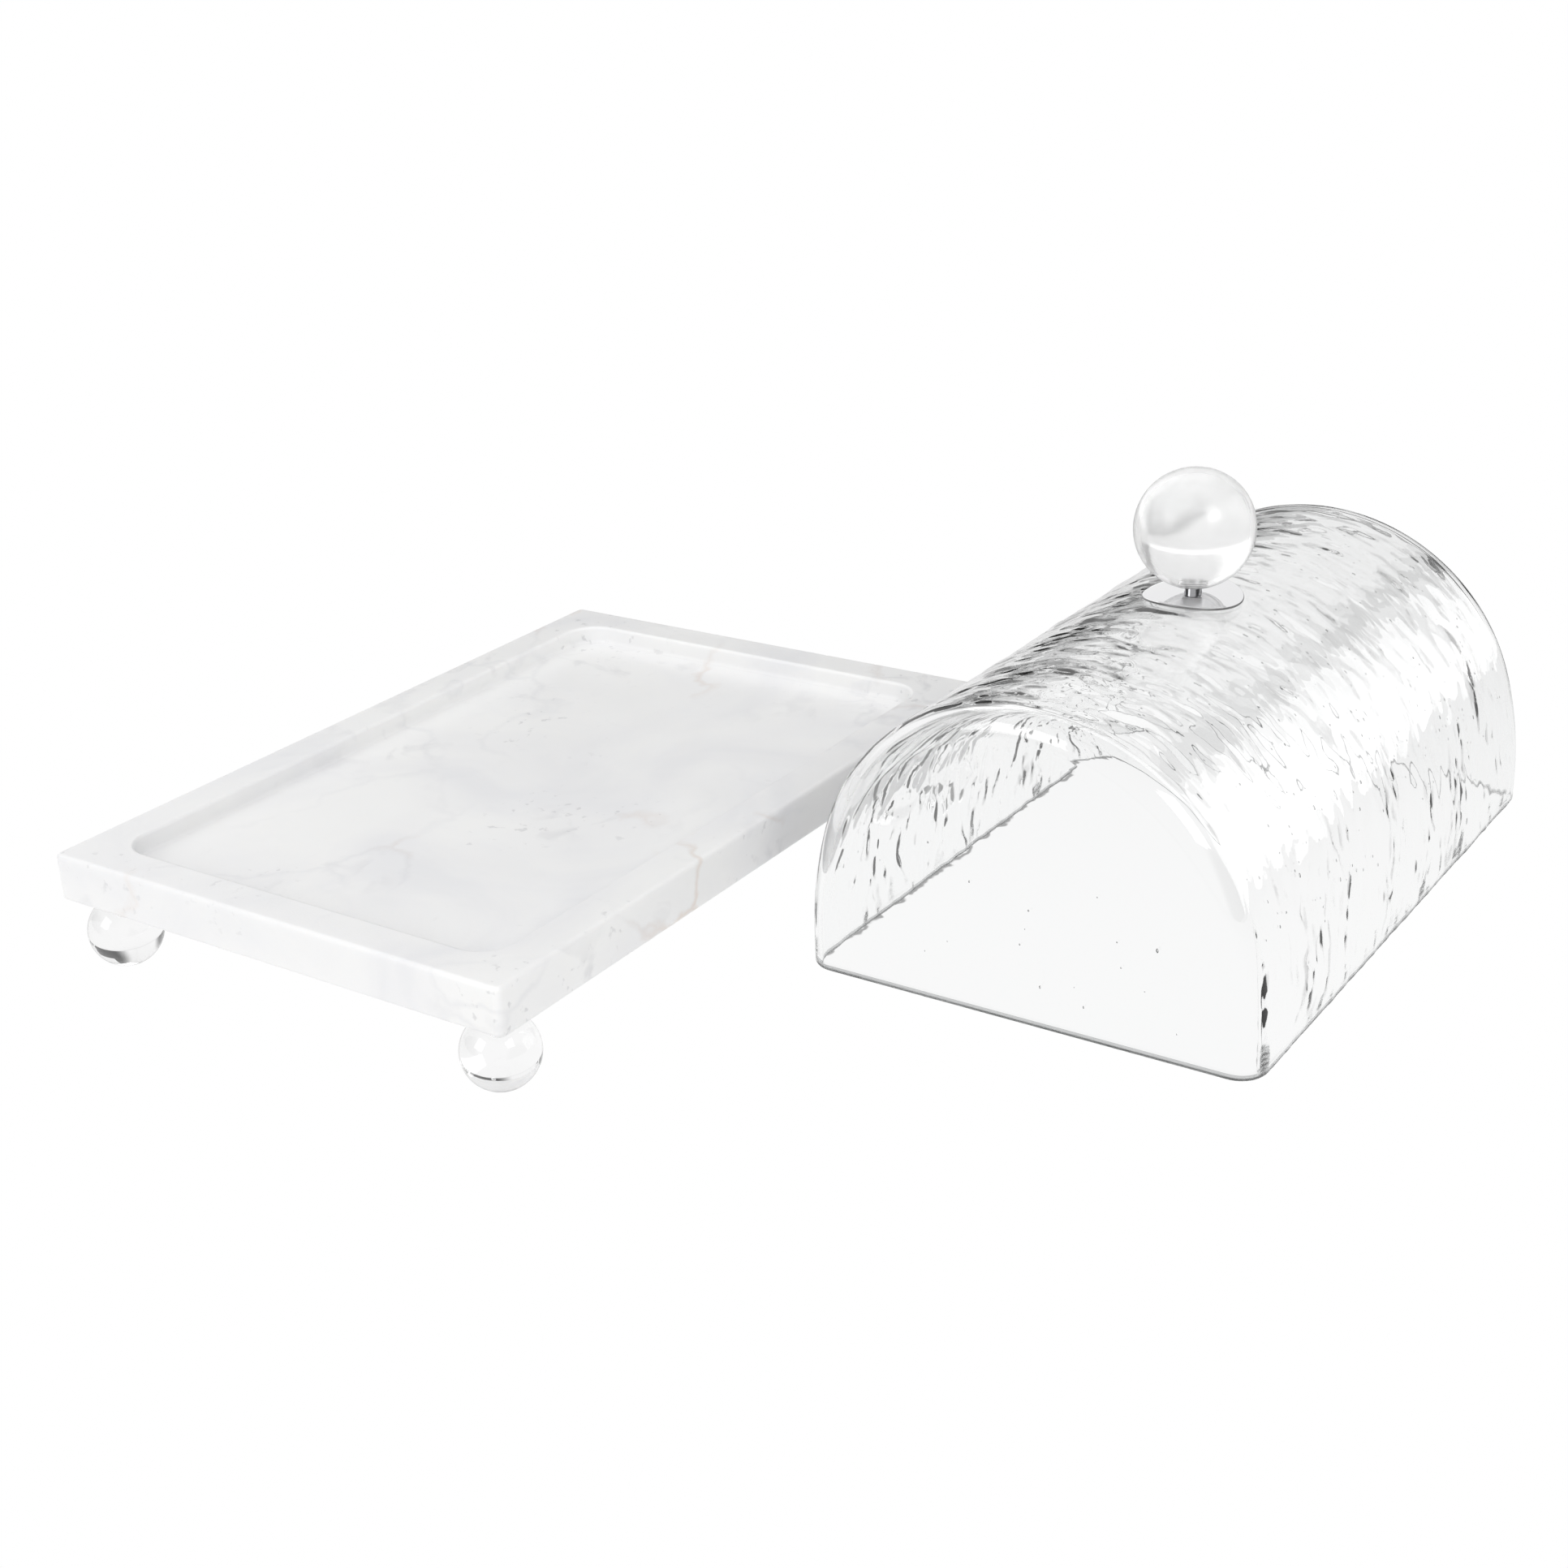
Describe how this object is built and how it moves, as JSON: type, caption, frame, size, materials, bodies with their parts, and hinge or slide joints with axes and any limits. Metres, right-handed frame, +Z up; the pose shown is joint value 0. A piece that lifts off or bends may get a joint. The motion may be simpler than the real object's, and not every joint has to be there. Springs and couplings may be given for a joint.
{
  "type": "cheese dome",
  "caption": "Rectangular marble tray on clear ball feet, with a separate arched rippled-glass cover lifted by a clear ball knob on a chrome saddle.",
  "frame": {"origin": "on the floor, in the middle of the rectangle that the tray and the cover beside it span", "axes": "+Z up; +Y along the long sides of the tray and of the arch; +X from the tray towards the cover"},
  "size_m": [0.443, 0.438, 0.1742],
  "materials": {
    "marble": "honed white marble with faint grey clouds and a few tan veins",
    "clear_ball": "polished clear acrylic",
    "rippled_glass": "clear glass, rippled on the arch and smooth on the ends",
    "chrome": "mirror-polished chrome plate",
    "steel_stud": "plain zinc-plated steel",
    "steel_insert": "pale threaded insert",
    "brass_sleeve": "plain turned brass",
    "clear_washer": "clear soft plastic",
    "clear_gasket": "clear silicone"
  },
  "bodies": {
    "tray": {"tray_slab": "marble", "foot_ball_front_left": "clear_ball", "foot_ball_front_right": "clear_ball", "foot_ball_back_left": "clear_ball", "foot_ball_back_right": "clear_ball", "foot_washers": "clear_washer", "foot_sleeves": "brass_sleeve", "foot_studs": "steel_stud"},
    "cover": {"cover_glass": "rippled_glass", "saddle_gasket": "clear_gasket", "saddle_plate": "chrome", "inner_gasket": "clear_gasket", "inner_washer": "chrome", "hole_bush": "clear_washer", "knob_collar": "chrome", "knob_insert": "steel_insert", "knob_ball": "clear_ball", "knob_screw": "steel_stud"}
  },
  "joints": [
    {"name": "cover_lift", "type": "slide", "parent": "tray", "child": "cover", "axis": [-0.4233, -0.2269, 0.8771], "range_m": [0, 0.5552]}
  ]
}
